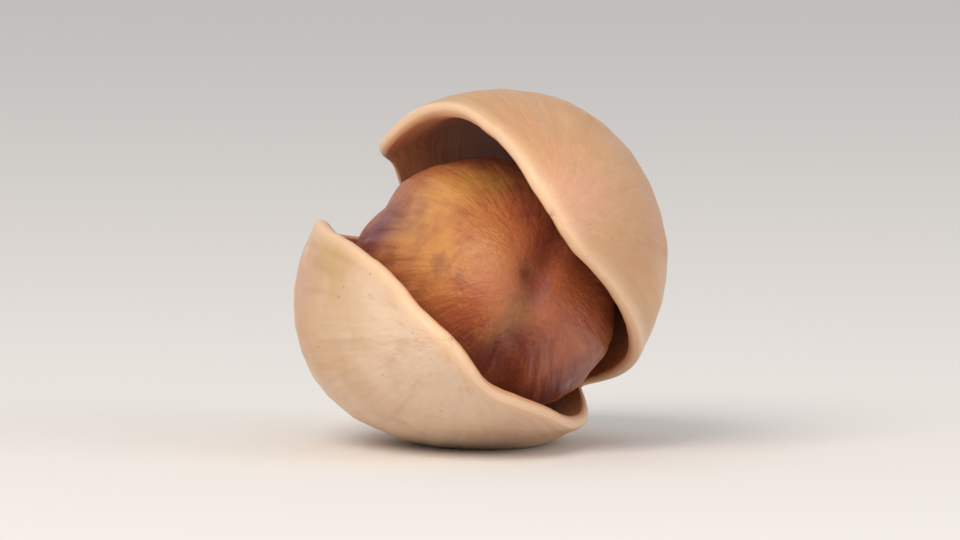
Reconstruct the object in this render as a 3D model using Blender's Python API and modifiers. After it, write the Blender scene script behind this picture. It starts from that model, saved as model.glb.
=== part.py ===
"""A pistachio that has gaped open, with its kernel inside, lying on a table.

The nut is shaped in its own growing frame, in metres: X runs across the two halves of the shell,
+Y is the belly seam and -Y the back seam, and +Z points from the stem end to the tip. An empty then
lays it down: tip towards -Y, belly seam up to the left, one half of the shell underneath.
"""

import math

import bmesh
import bpy
import numpy as np
from mathutils import Matrix, Vector

MM = 0.001

# The shell while it was shut
LENGTH = 20.6 * MM
DEPTH = 12.7 * MM
WIDTH = 12.0 * MM
LEAN_ABOVE = 0.05
LEAN_BELOW = 0.20
TAPER = 0.11
TIP_POINT = 0.05
BELLY_BULGE = 0.12 * MM
KEEL = 0.022
KEEL_SPREAD = 0.14
WALL = 0.80 * MM
RIM_WALL_SHARE = 0.75
RIM_SPREAD = 0.30

# How the shell gapes: the upper half has swung open, and the lower one has hardly moved
SWING_ABOVE = 4.7 * MM
SWING_BELOW = 0.3 * MM
BELLY_SPLIT = math.radians(155.0)
BACK_SPLIT = math.radians(125.0)
SPLIT_ROUNDNESS = 0.95
RIM_PULL = 2.5

# The two rims: how far each stands off the seam, and where it bends on the way round
RIM_ABOVE = 5.45 * MM
RIM_ABOVE_STEP = 1.10 * MM
STEP_ANGLE = math.radians(16.0)
STEP_SPREAD = math.radians(26.0)
RIM_ABOVE_DROP = 2.40 * MM
DROP_ANGLE = math.radians(103.0)
DROP_SPREAD = math.radians(20.0)
RIM_BELOW = 1.60 * MM
RIM_BELOW_DIP = 0.66 * MM
DIP_ANGLE = math.radians(37.6)
DIP_SPREAD = math.radians(36.0)
RIM_BELOW_BULGE = 0.36 * MM
BULGE_ANGLE = math.radians(-25.4)
BULGE_SPREAD = math.radians(12.0)
RIM_BELOW_FLARE = 2.20 * MM
FLARE_ANGLE = math.radians(131.0)
FLARE_SPREAD = math.radians(28.0)
RIM_RIPPLE = 0.045 * MM

# The stem scar and the furrows that run out from it
SCAR_RADIUS = 1.25 * MM
SCAR_DEPTH = 0.30 * MM
SCAR_EDGE = 0.18 * MM
FURROWS = 7
FURROW_DEPTH = 0.13 * MM
FURROW_REACH = 3.2 * MM

# The kernel in its skin
KERNEL_LENGTH = 16.2 * MM
KERNEL_DEPTH = 10.1 * MM
KERNEL_WIDTH = 9.7 * MM
KERNEL_LEAN = 0.16
KERNEL_PLACE = Vector((0.72, -0.12, -0.2)) * MM
KERNEL_SWING = math.radians(3.0)
CLEFT = 0.035
CLEFT_SPREAD = 0.16
GROOVE_DEPTH = 0.55 * MM
GROOVE_AT = -0.36
GROOVE_SPREAD = 0.13
GROOVE_SLANT = 0.12
WRINKLE = 0.020
KERNEL_TAPER = 0.09

# How the nut lies
ROLL = math.radians(51.0)
TIP_LIFT = math.radians(1.5)
FLAT_DEPTH = 0.30 * MM

SHELL_SEGMENTS = 80
SHELL_RINGS = 26
KERNEL_SEGMENTS = 48
KERNEL_RINGS = 28
BASE_CROWDING = 0.45
BASE_CROWD_REACH = 0.9


def ball(segments, rings, poles_across):
    """A unit ball of quads, with its poles on X if poles_across, and otherwise on Z."""
    bm = bmesh.new()
    turn = Matrix.Rotation(math.pi / 2, 4, "Y") if poles_across else Matrix.Identity(4)
    bmesh.ops.create_uvsphere(bm, u_segments=segments, v_segments=rings, radius=1.0, matrix=turn)
    return bm


def seam_angle(y, z):
    """The angle round the seam from the tip: positive over the belly, negative over the back."""
    return np.arctan2(y, z)


def split_seams(bm):
    """Parts the two halves along the seam, from the end of one split over the tip to the end of the other."""
    on_seam = [e for e in bm.edges if all(abs(v.co.x) < 1e-5 for v in e.verts)]
    parted = [
        e
        for e in on_seam
        if any(-BACK_SPLIT < seam_angle(v.co.y, v.co.z) < BELLY_SPLIT for v in e.verts)
    ]
    bmesh.ops.split_edges(bm, edges=parted)


def crowd_to_base(points):
    """Draws points of the unit ball towards the stem end, where the surface has its finest relief."""
    reach = np.hypot(points[:, 0], points[:, 1])
    from_base = np.arctan2(reach, -points[:, 2])
    moved = from_base * (1 - BASE_CROWDING * np.exp(-((from_base / BASE_CROWD_REACH) ** 2)))
    spread = np.sin(moved) / np.maximum(reach, 1e-9)
    return np.column_stack([points[:, 0] * spread, points[:, 1] * spread, -np.cos(moved)])


def hump(at, centre, spread):
    """A smooth rise to 1 at the centre, and back to 0 on either side."""
    return np.exp(-(((at - centre) / spread) ** 2))


def half_gape(points, side):
    """How far each point of the shell has moved out as the halves parted.

    The body of a half swings about the stem end, in proportion to the height above it. Its rim opens like
    a crack, as a rounded arch from one end of the split to the other. RIM_PULL sets how soon the first
    passes into the second.
    """
    x, y, z = points.T
    angle = seam_angle(y, z)
    share = np.where(angle > 0, angle / BELLY_SPLIT, angle / -BACK_SPLIT)
    arch = np.clip(1 - share**2, 0, 1) ** SPLIT_ROUNDNESS
    step = RIM_ABOVE_STEP * np.tanh((angle - STEP_ANGLE) / STEP_SPREAD)
    drop = RIM_ABOVE_DROP * hump(angle, DROP_ANGLE, DROP_SPREAD)
    above = RIM_ABOVE + step - drop
    dip = RIM_BELOW_DIP * hump(angle, DIP_ANGLE, DIP_SPREAD)
    bulge = RIM_BELOW_BULGE * hump(angle, BULGE_ANGLE, BULGE_SPREAD)
    flare = RIM_BELOW_FLARE * hump(angle, FLARE_ANGLE, FLARE_SPREAD)
    below = RIM_BELOW - dip + bulge + flare
    ripple = np.sin(7.3 * angle + 0.9 * side) + 0.6 * np.sin(12.1 * angle + 2.0 * side)
    rim = (np.where(side > 0, above, below) + RIM_RIPPLE * ripple) * arch
    body = np.where(side > 0, SWING_ABOVE, SWING_BELOW) * (1 + z) / 2
    near_rim = (1 - np.abs(x)) ** RIM_PULL
    return body + (rim - body) * near_rim


def stem_relief(points):
    """The height of the surface round the stem end: a sunk scar with furrows that fan out from it."""
    x, y, z = points.T
    across, deep = x * WIDTH / 2, y * DEPTH / 2
    out = np.hypot(across, deep)
    turn = np.arctan2(deep, across)
    below = np.clip(-z, 0, 1) ** 2
    scar = -SCAR_DEPTH / (1 + np.exp((out - SCAR_RADIUS) / SCAR_EDGE))
    fan = np.cos(FURROWS * turn + 1.2 * np.sin(2 * turn + 0.7))
    fade = hump(out, 0, FURROW_REACH) * np.clip(out / SCAR_RADIUS, 0, 1)
    return (scar + FURROW_DEPTH * fan * fade) * below


def shell_form(points, side):
    """The shell's outer surface from points of the unit ball: an egg with a pointed tip, a low keel along
    the seam, relief round the stem end, each half fuller towards the belly, and the halves moved apart."""
    x, y, z = points.T
    taper = 1 - TAPER * z
    keel = 1 + KEEL * hump(x, 0, KEEL_SPREAD)
    relief = 1 + stem_relief(points) / (LENGTH / 2)
    lean = 1 + np.where(side > 0, LEAN_ABOVE, LEAN_BELOW) * y
    across = WIDTH / 2 * x * taper * lean * relief + side * half_gape(points, side)
    deep = DEPTH / 2 * y * taper * keel * relief + BELLY_BULGE * (1 - z**2)
    along = LENGTH / 2 * (z + TIP_POINT * np.clip(z, 0, 1) ** 6) * relief
    return np.column_stack([across, deep, along])


def kernel_form(points):
    """The kernel's surface: an egg that follows the lower half's lean, with a cleft down its belly, a groove
    across its tip between the two lobes, and long, wandering wrinkles."""
    x, y, z = points.T
    turn = np.arctan2(y, x)
    girth = np.hypot(x, y)
    wrinkles = (
        np.cos(3 * turn + 2.0 * z + 0.6)
        + 0.7 * np.cos(6 * turn - 3.0 * z + 2.0)
        + 0.5 * np.cos(10 * turn + 2.5 * np.sin(2.5 * z))
    )
    cleft = CLEFT * hump(x, 0, CLEFT_SPREAD) * np.clip(y, 0, 1)
    size = 1 + WRINKLE * wrinkles * girth**2 - cleft
    taper = 1 - KERNEL_TAPER * z
    lean = 1 + KERNEL_LEAN * y * (1 - x) / 2
    groove = GROOVE_DEPTH * hump(y - GROOVE_SLANT * x, GROOVE_AT, GROOVE_SPREAD) * np.clip(z, 0, 1)
    return np.column_stack(
        [
            KERNEL_WIDTH / 2 * x * taper * lean * size,
            KERNEL_DEPTH / 2 * y * taper * size,
            KERNEL_LENGTH / 2 * z - groove,
        ]
    )


def move_points(bm, form):
    """Carries every vertex of the mesh through a form worked out on whole arrays."""
    points = np.array([v.co[:] for v in bm.verts])
    for vertex, place in zip(bm.verts, form(points)):
        vertex.co = place


def sides_of(bm):
    """+1 for vertices of the half that ends up above, -1 for the one below, by the faces round each."""
    return np.array(
        [math.copysign(1, sum(f.calc_center_median().x for f in v.link_faces)) for v in bm.verts]
    )


def material(name, colour, roughness):
    made = bpy.data.materials.new(name)
    made.use_nodes = True
    shader = made.node_tree.nodes["Principled BSDF"]
    shader.inputs["Base Color"].default_value = (*colour, 1)
    shader.inputs["Roughness"].default_value = roughness
    shader.inputs["Metallic"].default_value = 0
    return made


def add_object(name, bm, finish, collection):
    mesh = bpy.data.meshes.new(name)
    bm.to_mesh(mesh)
    bm.free()
    mesh.materials.append(finish)
    mesh.shade_smooth()
    mesh.set_sharp_from_angle(angle=math.radians(50))
    made = bpy.data.objects.new(name, mesh)
    collection.objects.link(made)
    return made


def make_shell(collection):
    """The shell: one closed wall whose two halves are still joined round the stem end."""
    bm = ball(SHELL_SEGMENTS, SHELL_RINGS, poles_across=True)
    move_points(bm, crowd_to_base)
    split_seams(bm)
    side = sides_of(bm)
    across = [abs(v.co.x) for v in bm.verts]
    move_points(bm, lambda points: shell_form(points, side))
    made = add_object("shell", bm, material("dry_shell", (0.72, 0.52, 0.35), 0.6), collection)

    thick = made.vertex_groups.new(name="wall")
    for index, off_seam in enumerate(across):
        thick.add([index], min(1.0, off_seam / RIM_SPREAD), "REPLACE")
    wall = made.modifiers.new("wall", "SOLIDIFY")
    wall.thickness = WALL
    wall.offset = -1
    wall.use_even_offset = True
    wall.vertex_group = thick.name
    wall.thickness_vertex_group = RIM_WALL_SHARE
    return made


def make_kernel(collection):
    """The kernel, lying loose in the shell."""
    bm = ball(KERNEL_SEGMENTS, KERNEL_RINGS, poles_across=False)
    move_points(bm, kernel_form)
    made = add_object("kernel", bm, material("kernel_skin", (0.36, 0.13, 0.05), 0.5), collection)
    made.location = KERNEL_PLACE
    made.rotation_euler = (0, KERNEL_SWING, 0)
    return made


def resting_turn():
    """The turn from the growing frame to the lying nut: tip to -Y, rolled on to one half, tip lifted."""
    lie_down = Matrix.Rotation(math.pi / 2, 4, "X")
    roll = Matrix.Rotation(-ROLL, 4, "Y")
    lift = Matrix.Rotation(-TIP_LIFT, 4, "X")
    return lift @ roll @ lie_down


def box_of(obj):
    """Lowest and highest corner of an object's finished mesh in the world."""
    seen = obj.evaluated_get(bpy.context.evaluated_depsgraph_get())
    corners = np.array([(seen.matrix_world @ v.co)[:] for v in seen.data.vertices])
    return corners.min(0), corners.max(0)


def lay_down(shell, kernel, collection):
    """Hangs both pieces on an empty that lays the nut down, with the middle of its base at the origin."""
    nut = bpy.data.objects.new("pistachio", None)
    collection.objects.link(nut)
    for piece in (shell, kernel):
        piece.parent = nut
    nut.rotation_euler = resting_turn().to_euler()
    bpy.context.view_layer.update()
    low, high = box_of(shell)
    nut.location = (-(low[0] + high[0]) / 2, -(low[1] + high[1]) / 2, -low[2] - FLAT_DEPTH)
    bpy.context.view_layer.update()


def flatten_foot(shell, cutters):
    """Takes off the little flat spot that the nut rests on, at Z = 0."""
    bm = bmesh.new()
    bmesh.ops.create_cube(bm, size=2 * LENGTH)
    mesh = bpy.data.meshes.new("table_plane")
    bm.to_mesh(mesh)
    bm.free()
    block = bpy.data.objects.new("table_plane", mesh)
    block.location = (0, 0, -LENGTH)
    block.display_type = "WIRE"
    block.hide_render = True
    cutters.objects.link(block)
    cut = shell.modifiers.new("foot", "BOOLEAN")
    cut.operation = "DIFFERENCE"
    cut.object = block


def main():
    for old in list(bpy.data.objects):
        bpy.data.objects.remove(old)
    parts = bpy.data.collections.new("pistachio_in_shell")
    cutters = bpy.data.collections.new("cutters")
    for collection in (parts, cutters):
        bpy.context.scene.collection.children.link(collection)
    shell = make_shell(parts)
    kernel = make_kernel(parts)
    lay_down(shell, kernel, parts)
    flatten_foot(shell, cutters)


main()
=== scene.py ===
"""The looks of a gaping pistachio: a streaked, furrowed shell and a wrinkled kernel on a pale floor.

Both pieces are worked out in the nut's growing frame, as in the part's own source: X runs across the two
halves of the shell, +Y is the belly seam and -Y the back seam, and +Z points from the stem end to the tip.
They are then laid down into the frame's box, tip towards -Y.
"""

import math

import bmesh
import bpy
import numpy as np
from mathutils import Matrix, Vector


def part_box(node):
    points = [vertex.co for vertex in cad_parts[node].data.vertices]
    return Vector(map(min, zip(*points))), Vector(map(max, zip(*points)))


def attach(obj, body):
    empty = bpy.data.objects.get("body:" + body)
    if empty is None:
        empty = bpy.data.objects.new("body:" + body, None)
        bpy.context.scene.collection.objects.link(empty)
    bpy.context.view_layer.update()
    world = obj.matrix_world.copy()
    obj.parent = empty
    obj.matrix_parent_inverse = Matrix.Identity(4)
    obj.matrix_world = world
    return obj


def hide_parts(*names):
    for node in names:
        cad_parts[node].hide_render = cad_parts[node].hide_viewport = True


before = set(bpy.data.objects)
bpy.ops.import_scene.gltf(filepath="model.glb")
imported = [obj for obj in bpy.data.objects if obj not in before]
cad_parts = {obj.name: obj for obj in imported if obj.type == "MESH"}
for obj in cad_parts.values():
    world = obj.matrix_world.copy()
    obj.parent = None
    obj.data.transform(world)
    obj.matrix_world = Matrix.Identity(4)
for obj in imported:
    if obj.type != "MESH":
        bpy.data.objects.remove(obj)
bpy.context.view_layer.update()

MM = 0.001

# The shell while it was shut
LENGTH = 20.6 * MM
DEPTH = 12.7 * MM
WIDTH = 12.0 * MM
LEAN = {1: 0.05, -1: 0.20}
TAPER = 0.11
TIP_POINT = 0.05
BELLY_BULGE = 0.12 * MM
KEEL = 0.022
KEEL_SPREAD = 0.14
WALL = 0.80 * MM
RIM_WALL_SHARE = 0.60
RIM_SPREAD = 0.30
RIM_ROUNDING = 0.13 * MM
RIM_STIFFNESS = 0.24

# How the shell gapes: the upper half (1) has swung open, and the lower one (-1) has hardly moved
SWING = {1: 4.7 * MM, -1: 0.3 * MM}
BELLY_SPLIT = math.radians(155.0)
BACK_SPLIT = math.radians(125.0)
SPLIT_ROUNDNESS = 0.95
RIM_PULL = 2.5

# The two rims: how far each stands off the seam, and where it bends on the way round
RIM_ABOVE = 5.45 * MM
RIM_ABOVE_STEP = 1.10 * MM
STEP_ANGLE = math.radians(16.0)
STEP_SPREAD = math.radians(26.0)
RIM_ABOVE_DROP = 2.40 * MM
DROP_ANGLE = math.radians(103.0)
DROP_SPREAD = math.radians(20.0)
RIM_BELOW = 1.60 * MM
RIM_BELOW_DIP = 0.66 * MM
DIP_ANGLE = math.radians(37.6)
DIP_SPREAD = math.radians(36.0)
RIM_BELOW_BULGE = 0.36 * MM
BULGE_ANGLE = math.radians(-25.4)
BULGE_SPREAD = math.radians(12.0)
RIM_BELOW_FLARE = 2.20 * MM
FLARE_ANGLE = math.radians(131.0)
FLARE_SPREAD = math.radians(28.0)
RIM_RIPPLE = 0.045 * MM
RIM_NICKS = 0.03 * MM
NICK_WIDTH = 0.8 * MM

# The stem scar and the furrows that run out from it
SCAR_RADIUS = 1.25 * MM
SCAR_DEPTH = 0.30 * MM
SCAR_EDGE = 0.18 * MM
FURROWS = 7
FURROW_DEPTH = 0.13 * MM
FURROW_REACH = 3.2 * MM
FINE_FURROWS = 19
FINE_FURROW_DEPTH = 0.045 * MM

# Low relief all over the shell, too fine for the frame's solids
LUMP_SPAN = 6.5
LUMP_HEIGHT = 0.05 * MM
LUMP_SIZE = 3.4 * MM
RIB_HEIGHT = 0.035 * MM
RIB_WIDTH = 0.9 * MM
SUTURE_DEPTH = 0.09 * MM
SUTURE_WIDTH = 0.16 * MM

# The shell's tints: half the shut shell's size in mm, the circle in mm that its streaks run round, how far
# the tints at the rim, the sutures and the stem end reach, and where the lower half has yellowed, in mm
SHELL_SPAN = np.array([6.0, 6.1, 10.3])
SHELL_STREAK_REACH = 5.5
# How far the pale band along the rims reaches: partly the broken edge's own colour, partly a painted
# highlight
RIM_PALE_AND_HIGHLIGHT = 0.38 * MM
# How far in from the rim the painted shade inside the shell grows to full strength
PAINTED_SHADE_DEPTH = 4.0 * MM
SUTURE_TINT = 0.22 * MM
SCAR_TINT = 1.5 * MM
SCAR_TINT_EDGE = 0.25 * MM
STEM_TINT = 4.0 * MM
FURROW_TINT = 3.4 * MM
TANNER_HALF_EDGE = 0.08
YELLOWED_AT = np.array([-0.7, 5.1, 4.9])
YELLOWED_REACH = 2.5

# The kernel in its skin
KERNEL_LENGTH = 16.2 * MM
KERNEL_DEPTH = 10.3 * MM
KERNEL_WIDTH = 9.8 * MM
KERNEL_LEAN = 0.16
KERNEL_PLACE = np.array([0.80, -0.12, -0.2]) * MM
KERNEL_SWING = math.radians(3.0)
KERNEL_TAPER = 0.09
CLEFT = 0.035
CLEFT_SPREAD = 0.16
GROOVE_DEPTH = 0.70 * MM
GROOVE_AT = -0.34
GROOVE_SPREAD = 0.13
GROOVE_SLANT = 0.28
SWELLING = 0.015
GAPE_SWELL = 0.20 * MM
GAPE_SWELL_AT = 0.42
GAPE_SWELL_SPREAD = 0.34

# Relief of the kernel's skin, drawn together round the dimple at its tip
SKIN_DIMPLE = (0.30, -0.16, 0.94)
KERNEL_STREAK_REACH = 4.9
DIMPLE_DEPTH = 0.20 * MM
DIMPLE_SPREAD = 0.075
DIMPLE_CALM = 0.45
CREASE_DEPTH = 0.10 * MM
CREASE_SPACING = 1.7
PUCKER_DEPTH = 0.028 * MM
PUCKER_SPACING = 0.5

# Where the kernel's skin takes each of its colours: middles in mm from the kernel's own middle, and reach
SKIN_CLOUDS = {
    # Golden skin, partly a painted highlight where the big lobe faces the light
    "gold_and_highlight": [
        ((1.3, 3.6, 5.0), 2.6),
        ((0.0, 2.0, 7.2), 2.0),
        ((-1.2, -0.6, 7.4), 1.3),
        ((0.0, 0.0, -8.0), 3.0),
    ],
    "rust": [((0.9, -3.6, 5.0), 2.8), ((3.4, 0.5, 5.6), 2.0), ((-1.3, 0.0, 7.4), 1.6)],
    # Plum skin, partly painted shade where the kernel meets the shell's rims and far inside the shell
    "plum": [
        ((-1.8, -2.2, 6.6), 1.6),
        ((-1.0, 5.0, 2.4), 1.7),
        ((-1.6, -4.6, 2.6), 2.0),
        ((-3.5, 0.0, -3.0), 3.5),
    ],
    "olive": [((3.3, 2.7, 4.1), 1.3), ((0.0, -1.3, 7.3), 0.6)],
}

# How the nut lies
ROLL = math.radians(51.0)
TIP_LIFT = math.radians(1.5)
FLAT_DEPTH = 0.30 * MM

# Grids: columns run round the seam, and rows run from the middle of one half to the rim or the seam
SPLIT_COLUMNS = 300
JOINED_COLUMNS = 170
OUTER_ROWS = 62
RIM_ROWS = 6
INNER_ROWS = 20
KERNEL_COLUMNS = 380
KERNEL_ROWS = 210
RISE_STEPS = 400
OUTER_CROWDING = 0.45
INNER_CROWDING = 0.6

# Points nearer than this are welded, and slopes are taken over this step on the unit ball
WELD = 2e-7
STEP = 1e-4

# The studio: a lens that looks almost straight into the tip, and paper a hair below the nut
CAMERA_ELEVATION = math.radians(3.5)
CAMERA_DISTANCE = 0.36
CAMERA_LENS = 350
AIM_HEIGHT = 6.8 * MM
FLOOR_REACH = 1.5
FLOOR_DROP = 0.01 * MM
FLOOR_POINTS = 5


def hump(at, centre, spread):
    """A smooth rise to 1 at the centre, and back to 0 on either side."""
    return np.exp(-(((at - centre) / spread) ** 2))


def smooth_noise(points, cell, seed):
    """Gradient noise from about -1 to 1. Each corner of a cubic lattice holds a random slope, and a point
    takes the heights that its cell's eight corners give it, blended by an S-curve along each axis."""
    rng = np.random.default_rng(seed)
    slopes = rng.normal(size=(256, 3))
    slopes /= np.linalg.norm(slopes, axis=1)[:, None]
    shuffled = rng.permutation(256)
    scaled = points / cell
    base = np.floor(scaled).astype(int)
    part = scaled - base
    ease = part**3 * (part * (6 * part - 15) + 10)
    total = np.zeros(points.shape[:-1])
    for corner in np.ndindex(2, 2, 2):
        at = (base + corner) & 255
        key = shuffled[(shuffled[(shuffled[at[..., 0]] + at[..., 1]) & 255] + at[..., 2]) & 255]
        height = ((part - corner) * slopes[key]).sum(-1)
        total += height * np.where(corner, ease, 1 - ease).prod(-1)
    return 1.6 * total


def unit(vectors):
    """The vectors, each divided by its length."""
    return vectors / np.maximum(np.linalg.norm(vectors, axis=-1, keepdims=True), 1e-12)


def ball_points(angle, rise):
    """Points of the unit ball: angle goes round the seam from the tip over the belly, and rise goes from
    the seam to the poles on X."""
    return np.stack(
        [np.sin(rise), np.cos(rise) * np.sin(angle), np.cos(rise) * np.cos(angle)], axis=-1
    )


def strands(points, tip, reach):
    """Coordinates in mm that hardly change on the way from the stem end to the tip, so that a pattern on
    them runs in streaks: a circle round the axis, which draws in near both ends, and a little height."""
    axis = unit(np.array(tip))
    first = unit(np.cross([0.0, 1.0, 0.0], axis))
    across, deep, along = np.moveaxis(points @ np.stack([first, np.cross(axis, first), axis]).T, -1, 0)
    girth = np.hypot(across, deep)
    shrink = reach * np.minimum(1, 0.35 + girth) / np.maximum(girth, 1e-9)
    return np.stack([across * shrink, deep * shrink, 1.1 * along], axis=-1)


def split_share(angle):
    """0 at the tip and 1 at the end of either split, with the angle round the seam from the tip."""
    return np.where(angle > 0, angle / BELLY_SPLIT, angle / -BACK_SPLIT)


def half_gape(points, side):
    """How far each point has moved out as the halves parted: the body of a half in proportion to the
    height above the stem end, its rim as a rounded arch with bends, ripples and nicks."""
    x, y, z = np.moveaxis(points, -1, 0)
    angle = np.arctan2(y, z)
    arch = np.clip(1 - split_share(angle) ** 2, 0, 1) ** SPLIT_ROUNDNESS
    step = RIM_ABOVE_STEP * np.tanh((angle - STEP_ANGLE) / STEP_SPREAD)
    drop = RIM_ABOVE_DROP * hump(angle, DROP_ANGLE, DROP_SPREAD)
    above = RIM_ABOVE + step - drop
    dip = RIM_BELOW_DIP * hump(angle, DIP_ANGLE, DIP_SPREAD)
    bulge = RIM_BELOW_BULGE * hump(angle, BULGE_ANGLE, BULGE_SPREAD)
    flare = RIM_BELOW_FLARE * hump(angle, FLARE_ANGLE, FLARE_SPREAD)
    below = RIM_BELOW - dip + bulge + flare
    # Two waves whose lengths don't fit each other, and noise that differs from half to half
    ripple = np.sin(7.3 * angle + 0.9 * side) + 0.6 * np.sin(12.1 * angle + 2.0 * side)
    along_rim = [np.full_like(y, 5.0 * side), y * DEPTH / 2 / MM, z * LENGTH / 2 / MM]
    nicks = smooth_noise(np.stack(along_rim, axis=-1), NICK_WIDTH / MM, 3)
    rim = (above if side > 0 else below) + RIM_RIPPLE * ripple + RIM_NICKS * nicks
    body = SWING[side] * (1 + z) / 2
    near_rim = (1 - side * x) ** RIM_PULL
    return body + (rim * arch - body) * near_rim


def furrow_fan(points):
    """How the stem end is furrowed: distance out from the scar's middle, and the heights of the broad and
    the fine furrows, from -1 to 1."""
    x, y, _ = np.moveaxis(points, -1, 0)
    across, deep = x * WIDTH / 2, y * DEPTH / 2
    out = np.hypot(across, deep)
    turn = np.arctan2(deep, across)
    # Both fans are unevenly spaced, and the fine one twists a little on the way out
    fan = np.cos(FURROWS * turn + 1.2 * np.sin(2 * turn + 0.7))
    fine = np.cos(FINE_FURROWS * turn + 2.0 * np.sin(3 * turn) + out / (1.4 * MM))
    return out, fan, fine


def stem_relief(points):
    """The height of the surface round the stem end: a sunk scar with furrows that fan out from it."""
    out, fan, fine = furrow_fan(points)
    below = np.clip(-points[..., 2], 0, 1) ** 2
    scar = -SCAR_DEPTH / (1 + np.exp((out - SCAR_RADIUS) / SCAR_EDGE))
    fade = hump(out, 0, FURROW_REACH) * np.clip(out / SCAR_RADIUS, 0, 1)
    return (scar + (FURROW_DEPTH * fan + FINE_FURROW_DEPTH * fine) * fade) * below


def shell_form(points, side, furrowed=1):
    """The shell's outer surface from points of the unit ball: an egg with a pointed tip, a low keel along
    the seam, relief round the stem end, each half fuller towards the belly, and the halves moved apart.
    Where furrowed is 0 it has no relief round the stem end."""
    x, y, z = np.moveaxis(points, -1, 0)
    taper = 1 - TAPER * z
    keel = 1 + KEEL * hump(x, 0, KEEL_SPREAD)
    relief = 1 + furrowed * stem_relief(points) / (LENGTH / 2)
    lean = 1 + LEAN[side] * y
    across = WIDTH / 2 * x * taper * lean * relief + side * half_gape(points, side)
    deep = DEPTH / 2 * y * taper * keel * relief + BELLY_BULGE * (1 - z**2)
    along = LENGTH / 2 * (z + TIP_POINT * np.clip(z, 0, 1) ** 6) * relief
    return np.stack([across, deep, along], axis=-1)


def outward(form, points):
    """Unit normals of a form of the unit ball, from its slopes along two directions across each point."""
    spare = np.where(np.abs(points[..., 2:]) < 0.8, [0.0, 0.0, 1.0], [0.0, 1.0, 0.0])
    first = unit(np.cross(spare, points))
    second = np.cross(points, first)
    slopes = [
        form(unit(points + STEP * way)) - form(unit(points - STEP * way)) for way in (first, second)
    ]
    return unit(np.cross(*slopes))


def shell_relief(points):
    """Height of the shell's own low relief: broad lumps, ribs along its length, and a fine groove along the
    suture where the halves are still joined."""
    sized = points * LUMP_SPAN
    lumps = smooth_noise(sized, LUMP_SIZE / MM, 11) + 0.5 * smooth_noise(sized, LUMP_SIZE / MM / 2, 12)
    girth = np.hypot(points[..., 0], points[..., 1])
    along = strands(points, (0, 0, 1), SHELL_STREAK_REACH)
    ribs = smooth_noise(along, RIB_WIDTH / MM, 13) + 0.6 * smooth_noise(along, RIB_WIDTH / MM / 2, 14)
    joined = np.clip((split_share(np.arctan2(points[..., 1], points[..., 2])) - 1) / 0.04, 0, 1)
    suture = hump(points[..., 0] * WIDTH / 2, 0, SUTURE_WIDTH) * joined
    return LUMP_HEIGHT * lumps + RIB_HEIGHT * ribs * girth - SUTURE_DEPTH * suture


def shell_tints(points, from_rim, is_inside, turning):
    """What the shell's material reads at each point: how far it is inside, how near the rim, the suture and
    the stem scar, how far in from the rim for the painted shade inside, how deep in a furrow, how tanned or
    yellowed, and its place in mm."""
    sized = points * SHELL_SPAN
    from_yellowed = np.linalg.norm(sized - YELLOWED_AT, axis=-1)
    out, fan, fine = furrow_fan(points)
    below = np.clip(-points[..., 2], 0, 1) ** 2 * (1 - is_inside)
    split = np.clip((1 - split_share(np.arctan2(points[..., 1], points[..., 2])) ** 2) / 0.02, 0, 1)
    tipward = np.clip(0.5 + 0.9 * points[..., 2], 0, 1) ** 2
    return {
        "inside": np.where(turning < 1, 0.5 + (is_inside - 0.5) * turning, is_inside),
        # Pale band along the rims: partly their own paler colour, partly a painted highlight
        "rim": hump(from_rim, 0, RIM_PALE_AND_HIGHLIGHT) * split,
        # Painted shade inside the shell: 0 at the rim, growing to 1 further in
        "deep": np.clip(from_rim / PAINTED_SHADE_DEPTH, 0, 1),
        "scar": below / (1 + np.exp((out - SCAR_TINT) / SCAR_TINT_EDGE)),
        "stem": below * hump(out, 0, STEM_TINT),
        "furrow": below * hump(out, 0, FURROW_TINT) * np.clip(-0.75 * fan - 0.35 * fine, 0, 1),
        "suture": hump(from_rim, 0, SUTURE_TINT) * (1 - split) * (1 - is_inside),
        "tanner_half": (0.25 + 0.75 * tipward) / (1 + np.exp(-points[..., 0] / TANNER_HALF_EDGE)),
        "yellowed": hump(from_yellowed, 0, YELLOWED_REACH),
        "strand": strands(points, (0, 0, 1), SHELL_STREAK_REACH),
        "grown": sized,
    }


def length_from_rim(angle, side):
    """A table of fine steps of rise, closest at the rim, and the length of the surface from the rim to each
    of them, for every column."""
    table = math.pi / 2 * np.linspace(0, 1, RISE_STEPS + 1) ** 1.5
    grid = np.broadcast_to(table[:, None], (len(table), len(angle)))
    line = shell_form(ball_points(np.broadcast_to(angle, grid.shape), side * grid), side)
    pieces = np.linalg.norm(np.diff(line, axis=0), axis=-1)
    return table, np.concatenate([np.zeros((1, len(angle))), np.cumsum(pieces, axis=0)])


def rise_at(table, lengths, wanted):
    """The rise at which each column reaches the wanted lengths, read from the table between its steps."""
    after = np.clip((lengths[None] < wanted[:, None]).sum(1), 1, len(table) - 1)
    low = np.take_along_axis(lengths, after - 1, 0)
    high = np.take_along_axis(lengths, after, 0)
    part = np.clip((wanted - low) / np.maximum(high - low, 1e-12), 0, 1)
    return table[after - 1] + (table[after] - table[after - 1]) * part


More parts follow.
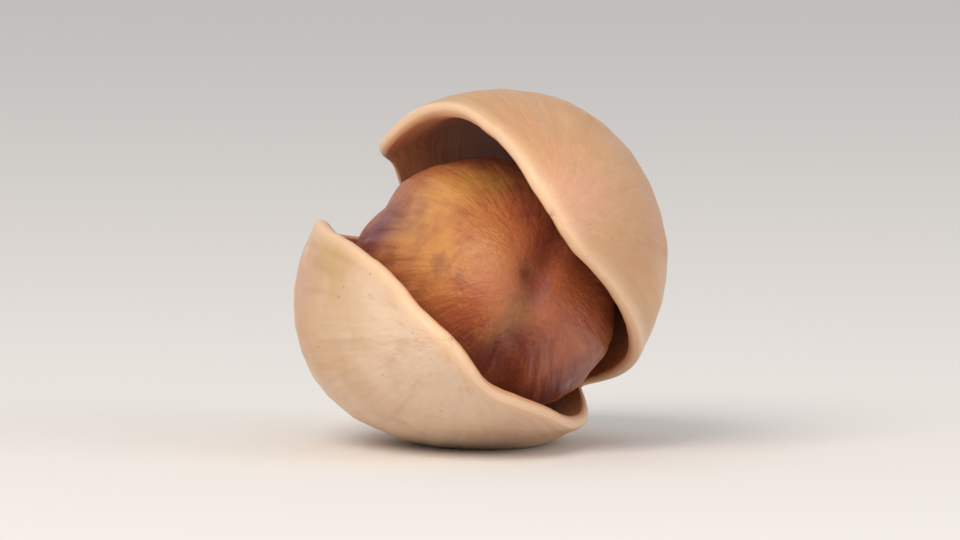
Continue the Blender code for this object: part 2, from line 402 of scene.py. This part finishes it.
def half_sheet(angle, side):
    """One half of the shell as a sheet of rows by columns, from the middle of its outside over the rim to
    the middle of its inside, with its tints.

    The wall's middle surface carries a half thickness. At the rim that follows a quarter ellipse down to
    nothing, so the edge is round, and towards the end of a split it stays, so that the halves can meet.
    Near the rim the wall faces one way, so that its two sides stay parallel where the edge curls. The
    furrows round the stem end don't show through on the inside.
    """
    table, lengths = length_from_rim(angle, side)
    arch = np.clip(1 - split_share((angle + math.pi) % (2 * math.pi) - math.pi) ** 2, 0, 1)
    roundness = 1 - np.exp(-arch / 0.04)

    swell = np.linspace(0, math.pi / 2, RIM_ROWS + 1)[:, None]
    rim_length = RIM_ROUNDING * (1 - np.cos(swell)) * np.ones_like(angle)
    rim_share = (1 - roundness) + roundness * np.sin(swell)
    sheets = []
    for count, crowding in ((OUTER_ROWS, OUTER_CROWDING), (INNER_ROWS, INNER_CROWDING)):
        steps = np.linspace(0, 1, count + 1)[1:, None]
        crowded = steps * (crowding + (1 - crowding) * steps)
        body_length = RIM_ROUNDING + (lengths[-1] - RIM_ROUNDING) * crowded
        share = np.concatenate([rim_share, np.ones_like(body_length)])
        sheets.append((np.concatenate([rim_length, body_length]), share))
    (outer_length, outer_share), (inner_length, inner_share) = sheets
    length = np.concatenate([outer_length[::-1], inner_length])
    share = np.concatenate([outer_share[::-1], inner_share])
    is_inside = np.concatenate([np.zeros_like(outer_share), np.ones_like(inner_share)])

    rise = rise_at(table, lengths, length)
    angles = np.broadcast_to(angle, rise.shape)
    points = ball_points(angles, side * rise)
    furrowed = np.where(is_inside > 0, 1 - share, 1)
    form = lambda at: shell_form(at, side, furrowed)
    facing = outward(form, ball_points(angles, side * np.maximum(rise, RIM_STIFFNESS * roundness)))
    thick = WALL * (RIM_WALL_SHARE + (1 - RIM_WALL_SHARE) * np.minimum(1, np.sin(rise) / RIM_SPREAD))
    relief = np.where(is_inside > 0, 0, shell_relief(points))
    offset = np.where(is_inside > 0, -1, 1) * share * (thick / 2 + relief)
    placed = form(points) + facing * (offset - thick / 2)[..., None]
    return placed, shell_tints(points, length, is_inside, share)


def wrapped_quads(rows, columns, winding, keep):
    """Quads of a grid that closes on itself along its columns, without those that keep leaves out."""
    at = np.arange(rows * columns).reshape(rows, columns)
    after = np.roll(at, -1, axis=1)
    quads = np.stack([at[:-1], at[1:], after[1:], after[:-1]], axis=-1)[:, :, ::winding]
    return quads[keep]


def resting_turn():
    """The turn from the growing frame to the lying nut: tip to -Y, rolled on to one half, tip lifted."""
    lie_down = Matrix.Rotation(math.pi / 2, 3, "X")
    roll = Matrix.Rotation(-ROLL, 3, "Y")
    lift = Matrix.Rotation(-TIP_LIFT, 3, "X")
    return np.array(lift @ roll @ lie_down)


class RestingPlace:
    """Carries points from the growing frame into the frame's box, as the shell itself fills it."""

    def __init__(self, shell_points):
        turned = shell_points.reshape(-1, 3) @ resting_turn().T
        low, high = turned.min(0), turned.max(0)
        self.shift = np.array([-(low[0] + high[0]) / 2, -(low[1] + high[1]) / 2, -low[2] - FLAT_DEPTH])
        frame_low, frame_high = (np.array(corner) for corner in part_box("shell"))
        self.fit = (frame_high - frame_low) / (high - low - [0, 0, FLAT_DEPTH])

    def settle(self, points):
        """Turned, moved and fitted to the frame, and flat where it would sink into the table."""
        laid = (points @ resting_turn().T + self.shift) * self.fit
        laid[..., 2] = np.maximum(laid[..., 2], 0)
        return laid


def add_piece(name, points, quads, tints, finish):
    """A mesh from points, quads and per-point tints. Points that coincide are welded, which closes seams
    and poles."""
    mesh = bpy.data.meshes.new(name)
    mesh.from_pydata(points.reshape(-1, 3), [], quads.reshape(-1, 4))
    for label, values in tints.items():
        is_vector = values.ndim == points.ndim and values.shape[-1] == 3
        layer = mesh.attributes.new(label, "FLOAT_VECTOR" if is_vector else "FLOAT", "POINT")
        layer.data.foreach_set("vector" if is_vector else "value", values.astype(np.float32).ravel())
    bm = bmesh.new()
    bm.from_mesh(mesh)
    bmesh.ops.remove_doubles(bm, verts=bm.verts, dist=WELD)
    bm.to_mesh(mesh)
    bm.free()
    mesh.shade_smooth()
    mesh.materials.append(finish)
    piece = bpy.data.objects.new(name, mesh)
    bpy.context.scene.collection.objects.link(piece)
    return piece


def make_shell(finish):
    """Both halves of the shell in one mesh, with a column exactly on the end of each split. The strip over
    the rim is left out where the halves are joined, so that there they share their edges."""
    split = np.linspace(-BACK_SPLIT, BELLY_SPLIT, SPLIT_COLUMNS + 1)
    joined = np.linspace(BELLY_SPLIT, 2 * math.pi - BACK_SPLIT, JOINED_COLUMNS + 1)
    angle = np.concatenate([split[:-1], joined[:-1]])
    sheets = [half_sheet(angle, side) for side in (1, -1)]
    placed = np.stack([sheet for sheet, _ in sheets])
    rows, columns = placed.shape[1:3]
    keep = np.ones((rows - 1, columns), bool)
    keep[OUTER_ROWS + RIM_ROWS, SPLIT_COLUMNS:] = False
    quads = [wrapped_quads(rows, columns, winding, keep) for winding in (1, -1)]
    quads[1] = quads[1] + rows * columns
    tints = {name: np.stack([tint[name] for _, tint in sheets]) for name in sheets[0][1]}
    place = RestingPlace(placed)
    shell = add_piece("shell_halves", place.settle(placed), np.concatenate(quads), tints, finish)
    return shell, place


def kernel_form(points):
    """The kernel's main form: an egg that follows the lower half's lean and swells a little into the gape,
    with a cleft down its belly, a groove across its tip between the two lobes, and long, wandering
    swellings."""
    x, y, z = np.moveaxis(points, -1, 0)
    turn = np.arctan2(y, x)
    girth = np.hypot(x, y)
    swellings = (
        np.cos(3 * turn + 2.0 * z + 0.6)
        + 0.7 * np.cos(6 * turn - 3.0 * z + 2.0)
        + 0.5 * np.cos(10 * turn + 2.5 * np.sin(2.5 * z))
    )
    cleft = CLEFT * hump(x, 0, CLEFT_SPREAD) * np.clip(y, 0, 1)
    size = 1 + SWELLING * swellings * girth**2 - cleft
    taper = 1 - KERNEL_TAPER * z
    lean = 1 + KERNEL_LEAN * y * (1 - x) / 2
    beside = hump(x, GAPE_SWELL_AT, GAPE_SWELL_SPREAD) * y * np.abs(y)
    into_gape = GAPE_SWELL * beside * np.clip(0.9 - np.abs(z - 0.1), 0, 1)
    groove = GROOVE_DEPTH * hump(y - GROOVE_SLANT * x, GROOVE_AT, GROOVE_SPREAD) * np.clip(z, 0, 1)
    return np.stack(
        [
            KERNEL_WIDTH / 2 * x * taper * lean * size,
            KERNEL_DEPTH / 2 * y * taper * size + into_gape,
            KERNEL_LENGTH / 2 * z - groove,
        ],
        axis=-1,
    )


def skin_creases(points):
    """Depth from 0 to 1 of the creases in the skin: the valleys of noise on strands that draw together at
    the dimple, so that they run lengthwise and fork. They come and go in patches."""
    drift = np.stack([smooth_noise(points * 5, 3.2, seed) for seed in (21, 22, 23)], axis=-1)
    along = strands(points, SKIN_DIMPLE, KERNEL_STREAK_REACH) + 0.45 * drift
    wide = np.hypot(smooth_noise(along, CREASE_SPACING, 24), 0.04)
    narrow = np.hypot(smooth_noise(along, CREASE_SPACING / 2, 25), 0.05)
    patches = np.clip(0.55 + 0.8 * smooth_noise(points * 5, 3.0, 27), 0.15, 1)
    return patches * (0.75 * np.exp(-wide / 0.13) + 0.35 * np.exp(-narrow / 0.14))


def make_kernel(place, finish):
    """The kernel, with its skin's creases, puckers and dimple sunk into the main form."""
    steps = np.linspace(0, 2 * math.pi, KERNEL_COLUMNS, endpoint=False)
    angle = steps - 0.35 * np.sin(steps)
    rise = np.linspace(-math.pi / 2, math.pi / 2, KERNEL_ROWS + 1)
    points = ball_points(*np.meshgrid(angle, rise))
    from_dimple = np.linalg.norm(points - unit(np.array(SKIN_DIMPLE)), axis=-1)
    dimple = hump(from_dimple, 0, DIMPLE_SPREAD)
    veined = 1 - hump(from_dimple, 0, DIMPLE_CALM)
    along = strands(points, SKIN_DIMPLE, KERNEL_STREAK_REACH)
    creases = skin_creases(points) * veined
    puckers = smooth_noise(along, PUCKER_SPACING, 26) * veined
    surface = kernel_form(points)
    sink = CREASE_DEPTH * creases + DIMPLE_DEPTH * dimple - PUCKER_DEPTH * puckers
    skin = surface - outward(kernel_form, points) * sink[..., None]
    swing = np.array(Matrix.Rotation(KERNEL_SWING, 3, "Y"))
    placed = skin @ swing.T + KERNEL_PLACE
    groove = hump(points[..., 1] - GROOVE_SLANT * points[..., 0], GROOVE_AT, GROOVE_SPREAD)
    tints = {
        # Depth of the creases, which also darkens them as painted shade
        "crease": np.clip(creases, 0, 1),
        # Groove and dimple, which are darkened as painted shade
        "groove": np.maximum(groove * np.clip(points[..., 2], 0, 1), dimple),
        "veined": veined,
        "strand": along,
        "grown": surface / MM,
    }
    for name, clouds in SKIN_CLOUDS.items():
        spots = [
            hump(np.linalg.norm(surface / MM - middle, axis=-1), 0, reach) for middle, reach in clouds
        ]
        tints[name] = np.maximum.reduce(spots)
    rows, columns = points.shape[:2]
    quads = wrapped_quads(rows, columns, -1, np.ones((rows - 1, columns), bool))
    return add_piece("kernel_skin", place.settle(placed), quads, tints, finish)


def srgb(code):
    """The linear colour that Blender's shaders take, from an sRGB hex code."""
    parts = np.array([int(code[i : i + 2], 16) for i in (1, 3, 5)]) / 255
    linear = np.where(parts <= 0.04045, parts / 12.92, ((parts + 0.055) / 1.055) ** 2.4)
    return (*linear, 1.0)


def add(tree, kind, inputs=None, **settings):
    """Adds a node with its settings. An input is given by name or number, as a value or as the socket that
    feeds it."""
    made = tree.nodes.new(kind)
    for name, value in settings.items():
        setattr(made, name, value)
    for name, value in (inputs or {}).items():
        if isinstance(value, bpy.types.NodeSocket):
            tree.links.new(value, made.inputs[name])
        else:
            made.inputs[name].default_value = value
    return made


def new_finish(name, **shader_values):
    """A material with a Principled shader whose constant values are set on its own sockets."""
    made = bpy.data.materials.new(name)
    made.use_nodes = True
    shader = made.node_tree.nodes["Principled BSDF"]
    for label, value in shader_values.items():
        shader.inputs[label.replace("_", " ")].default_value = value
    return made, made.node_tree, shader


def lay_tints(tree, colour, read, rows):
    """Lays tints over a colour one after another. A row gives the tint, how strong it gets, the attribute
    that masks it, and the noise that it follows: coordinates, scale per mm, detail, seed, and the two
    noise values between which it comes in. Mask or noise may be None."""
    for tint, strength, mask, noise in rows:
        cover = strength
        if noise:
            where, scale, detail, seed, low, high = noise
            pattern = add(
                tree,
                "ShaderNodeTexNoise",
                {"Vector": read[where].outputs["Vector"], "W": seed, "Scale": scale, "Detail": detail},
                noise_dimensions="4D",
            )
            cover = add(
                tree,
                "ShaderNodeMapRange",
                {"Value": pattern.outputs["Fac"], "From Min": low, "From Max": high, "To Max": strength},
                interpolation_type="SMOOTHSTEP",
            ).outputs["Result"]
        if mask:
            masked = {0: cover, 1: read[mask].outputs["Fac"]}
            cover = add(tree, "ShaderNodeMath", masked, operation="MULTIPLY").outputs["Value"]
        mixed = add(tree, "ShaderNodeMix", {0: cover, 6: colour, 7: srgb(tint)}, data_type="RGBA")
        colour = mixed.outputs[2]
    return colour


def raise_grain(tree, shader, read, depth, rows):
    """Bumps the surface by a sum of noises, to a depth in metres. A row gives the weight, or the attribute
    that holds it, and then coordinates, scale per mm, detail and seed."""
    height = 0.0
    for weight, where, scale, detail, seed in rows:
        pattern = add(
            tree,
            "ShaderNodeTexNoise",
            {"Vector": read[where].outputs["Vector"], "W": seed, "Scale": scale, "Detail": detail},
            noise_dimensions="4D",
        )
        share = read[weight].outputs["Fac"] if weight in read else weight
        summed = {0: pattern.outputs["Fac"], 1: share, 2: height}
        height = add(tree, "ShaderNodeMath", summed, operation="MULTIPLY_ADD").outputs["Value"]
    bump = add(tree, "ShaderNodeBump", {"Height": height, "Strength": 1.0, "Distance": depth})
    tree.links.new(bump.outputs["Normal"], shader.inputs["Normal"])


def vary_roughness(tree, shader, read, where, scale, smoothest, roughest):
    """Lets the roughness wander between two values along a noise."""
    pattern = add(
        tree,
        "ShaderNodeTexNoise",
        {"Vector": read[where].outputs["Vector"], "W": 8.0, "Scale": scale, "Detail": 4.0},
        noise_dimensions="4D",
    )
    spread = {"Value": pattern.outputs["Fac"], "From Min": 0.3, "From Max": 0.7}
    spread.update({"To Min": smoothest, "To Max": roughest})
    tree.links.new(add(tree, "ShaderNodeMapRange", spread).outputs["Result"], shader.inputs["Roughness"])


def dry_nutshell():
    """Sun-dried and roasted nutshell: a bone-like wall, matte with a faint satin, cream to tan in soft
    patches with a rosy blush, finely streaked along its length, browner round the stem scar, paler on its
    broken rims, which also carry a painted highlight, and smooth orange-tan inside, turning greyish mauve
    with painted shade further in from the rim."""
    made, tree, shader = new_finish(
        "dry_nutshell",
        Subsurface_Weight=0.10,
        Subsurface_Radius=(1.0, 0.42, 0.2),
        Subsurface_Scale=0.6 * MM,
        IOR=1.5,
    )
    masks = ("inside", "rim", "deep", "scar", "stem", "furrow", "suture", "tanner_half", "yellowed")
    names = ("grown", "strand", *masks)
    read = {name: add(tree, "ShaderNodeAttribute", attribute_name=name) for name in names}
    outside = (
        # The upper half is tanner, most of all towards the tip
        ("#C28E5E", 0.95, "tanner_half", ("grown", 0.16, 3.0, 11.0, 0.10, 0.46)),
        # Cream and tan patches a few mm wide, a rosy blush, small tan clouds and a yellowed corner
        ("#CDA276", 0.70, None, ("grown", 0.20, 4.0, 0.0, 0.38, 0.66)),
        ("#CE9680", 0.55, None, ("grown", 0.15, 2.0, 5.0, 0.48, 0.72)),
        ("#BD9060", 0.35, None, ("grown", 0.80, 4.0, 9.0, 0.50, 0.80)),
        ("#BFA067", 0.85, "yellowed", ("grown", 0.90, 3.0, 12.0, 0.25, 0.55)),
        # Streaks along the growing direction, about 0.6 mm wide and dark, and then 0.3 mm wide and pale
        ("#B5885F", 0.35, None, ("strand", 1.5, 5.0, 2.0, 0.50, 0.74)),
        ("#E9D4BA", 0.10, None, ("strand", 3.4, 5.0, 3.0, 0.48, 0.74)),
        # Pin-prick specks
        ("#8A5C32", 0.50, None, ("grown", 3.4, 2.0, 7.0, 0.70, 0.76)),
        # The stem end: orange-brown all round, dark in the furrows and the scar
        ("#C07A3A", 1.00, "stem", ("grown", 0.8, 5.0, 4.0, 0.15, 0.58)),
        ("#784520", 0.85, "furrow", None),
        ("#5A341A", 1.00, "scar", ("grown", 1.2, 5.0, 4.0, 0.12, 0.55)),
        ("#96683D", 0.55, "suture", None),
        # Pale rims: partly their own colour, partly a painted highlight along the edge
        ("#EFC9A3", 0.80, "rim", None),
    )
    lining = (
        # Painted shade: greyish mauve deeper in from the rim
        ("#B49088", 1.00, "deep", None),
        ("#C28E6C", 0.40, None, ("grown", 0.5, 4.0, 6.0, 0.40, 0.70)),
    )
    face = lay_tints(tree, srgb("#DEC2A7"), read, outside)
    back = lay_tints(tree, srgb("#DFA676"), read, lining)
    turned = add(
        tree,
        "ShaderNodeMapRange",
        {"Value": read["inside"].outputs["Fac"], "From Min": 0.35, "From Max": 0.75},
        interpolation_type="SMOOTHSTEP",
    )
    both = add(tree, "ShaderNodeMix", {0: turned.outputs["Result"], 6: face, 7: back}, data_type="RGBA")
    tree.links.new(both.outputs[2], shader.inputs["Base Color"])
    vary_roughness(tree, shader, read, "strand", 1.1, 0.36, 0.62)
    # Fine ridges along the shell, 0.3 mm apart and less, and a dusty tooth, 0.15 mm apart and less
    ridges = ((1.0, "strand", 3.2, 5.0, 1.0), (0.25, "grown", 7.0, 5.0, 2.0))
    raise_grain(tree, shader, read, 0.045 * MM, ridges)
    return made


def papery_seed_skin():
    """Roasted seed skin: a thin brown film, tight over the kernel and slightly waxy, golden where it is
    stretched over the lobes and partly a painted highlight on the big one, red-brown elsewhere, olive in
    patches, plum in places and partly painted shade where it meets the shell's rims, and darkened by painted
    shade in its creases and folds, its groove and its dimple."""
    made, tree, shader = new_finish(
        "papery_seed_skin",
        Subsurface_Weight=0.08,
        Subsurface_Radius=(1.0, 0.35, 0.15),
        Subsurface_Scale=0.5 * MM,
        IOR=1.48,
    )
    names = ("grown", "strand", "crease", "groove", "veined", *SKIN_CLOUDS)
    read = {name: add(tree, "ShaderNodeAttribute", attribute_name=name) for name in names}
    skin = (
        # Wide clouds, and then the skin's golden, rusty, plum and olive areas with ragged edges, the golden
        # ones partly a painted highlight and the plum ones partly painted shade
        ("#A0553A", 0.90, None, ("grown", 0.30, 4.0, 0.0, 0.38, 0.66)),
        # Golden, partly a painted highlight on the big lobe
        ("#D2964F", 1.00, "gold_and_highlight", ("grown", 0.60, 5.0, 3.0, 0.22, 0.48)),
        ("#AC5738", 0.95, "rust", ("grown", 0.60, 5.0, 4.0, 0.25, 0.50)),
        # Plum, partly painted shade along the shell's rims
        ("#703438", 1.00, "plum", ("grown", 0.60, 5.0, 5.0, 0.25, 0.50)),
        ("#B5853A", 0.80, "olive", ("grown", 0.90, 4.0, 6.0, 0.22, 0.48)),
        # Veins along the kernel, dark and then pale, and small plum clouds
        ("#8C452C", 0.40, "veined", ("strand", 1.8, 5.0, 2.0, 0.50, 0.72)),
        ("#E2AE6E", 0.25, "veined", ("strand", 4.0, 4.0, 5.0, 0.54, 0.74)),
        ("#8A4434", 0.45, None, ("grown", 0.7, 3.0, 9.0, 0.48, 0.72)),
        ("#6E343A", 0.40, None, ("grown", 0.9, 4.0, 8.0, 0.54, 0.74)),
        # Painted shade darkening the skin's creases
        ("#5C2A2C", 0.50, "crease", None),
        # Painted shade darkening the groove between the lobes and the dimple
        ("#743A2E", 0.40, "groove", None),
    )
    colour = lay_tints(tree, srgb("#B96F3D"), read, skin)
    tree.links.new(colour, shader.inputs["Base Color"])
    vary_roughness(tree, shader, read, "grown", 1.3, 0.32, 0.56)
    # Film wrinkles 0.1 to 0.4 mm apart, mostly lengthwise
    wrinkles = (
        ("veined", "strand", 2.6, 6.0, 1.0),
        (0.35, "strand", 7.5, 4.0, 3.0),
        (0.5, "grown", 5.0, 5.0, 2.0),
    )
    raise_grain(tree, shader, read, 0.09 * MM, wrinkles)
    return made


def matte_paper():
    """Studio paper: pale and matte, so that it takes only the nut's soft shadow."""
    return new_finish("matte_paper", Base_Color=srgb("#EAE7E2"), Roughness=0.9)[0]


def lay_floor():
    """A wide sheet of paper, a hair below the nut's flat foot, as a grid that is flat all over."""
    along = np.linspace(-FLOOR_REACH, FLOOR_REACH, FLOOR_POINTS)
    across, deep = np.meshgrid(along, along)
    points = np.stack([across, deep, np.full_like(across, -FLOOR_DROP)], axis=-1)
    at = np.arange(FLOOR_POINTS**2).reshape(FLOOR_POINTS, FLOOR_POINTS)
    quads = np.stack([at[:-1, :-1], at[:-1, 1:], at[1:, 1:], at[1:, :-1]], axis=-1)
    add_piece("paper_floor", points, quads, {}, matte_paper())


def add_softbox(name, place, aim, size, power, tint):
    """A square area light that looks from place to aim."""
    light = bpy.data.lights.new(name, "AREA")
    light.shape = "SQUARE"
    light.size = size
    light.energy = power
    light.color = srgb(tint)[:3]
    lamp = bpy.data.objects.new(name, light)
    lamp.location = place
    lamp.rotation_euler = (Vector(aim) - Vector(place)).to_track_quat("-Z", "Y").to_euler()
    bpy.context.scene.collection.objects.link(lamp)


def light_studio():
    """A big softbox above and to the left, a weak one on the right, and pale air all round. Colours are
    shown plainly, without a film curve."""
    middle = (0, 0, 0.007)
    add_softbox("key_softbox", (-0.17, -0.33, 0.30), middle, 0.26, 1.65, "#FFF6EC")
    add_softbox("fill_softbox", (0.34, -0.22, 0.12), middle, 0.30, 0.5, "#F6F7FF")
    world = bpy.data.worlds.new("studio_air")
    world.use_nodes = True
    air = world.node_tree.nodes["Background"]
    air.inputs["Color"].default_value = srgb("#EFEFF2")
    air.inputs["Strength"].default_value = 0.66
    bpy.context.scene.world = world
    bpy.context.scene.view_settings.view_transform = "Standard"


def place_camera():
    """A long lens a little above the floor, almost straight into the open tip, as the photograph sees it."""
    back = Vector((0, -math.cos(CAMERA_ELEVATION), math.sin(CAMERA_ELEVATION)))
    data = bpy.data.cameras.new("camera")
    data.lens = CAMERA_LENS
    camera = bpy.data.objects.new("camera", data)
    camera.location = Vector((0, 0, AIM_HEIGHT)) + CAMERA_DISTANCE * back
    camera.rotation_euler = (-back).to_track_quat("-Z", "Y").to_euler()
    bpy.context.scene.collection.objects.link(camera)
    bpy.context.scene.camera = camera


place_camera()
light_studio()
lay_floor()

shell, place = make_shell(dry_nutshell())
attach(shell, "root")
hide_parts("shell")

kernel = make_kernel(place, papery_seed_skin())
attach(kernel, "root")
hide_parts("kernel")
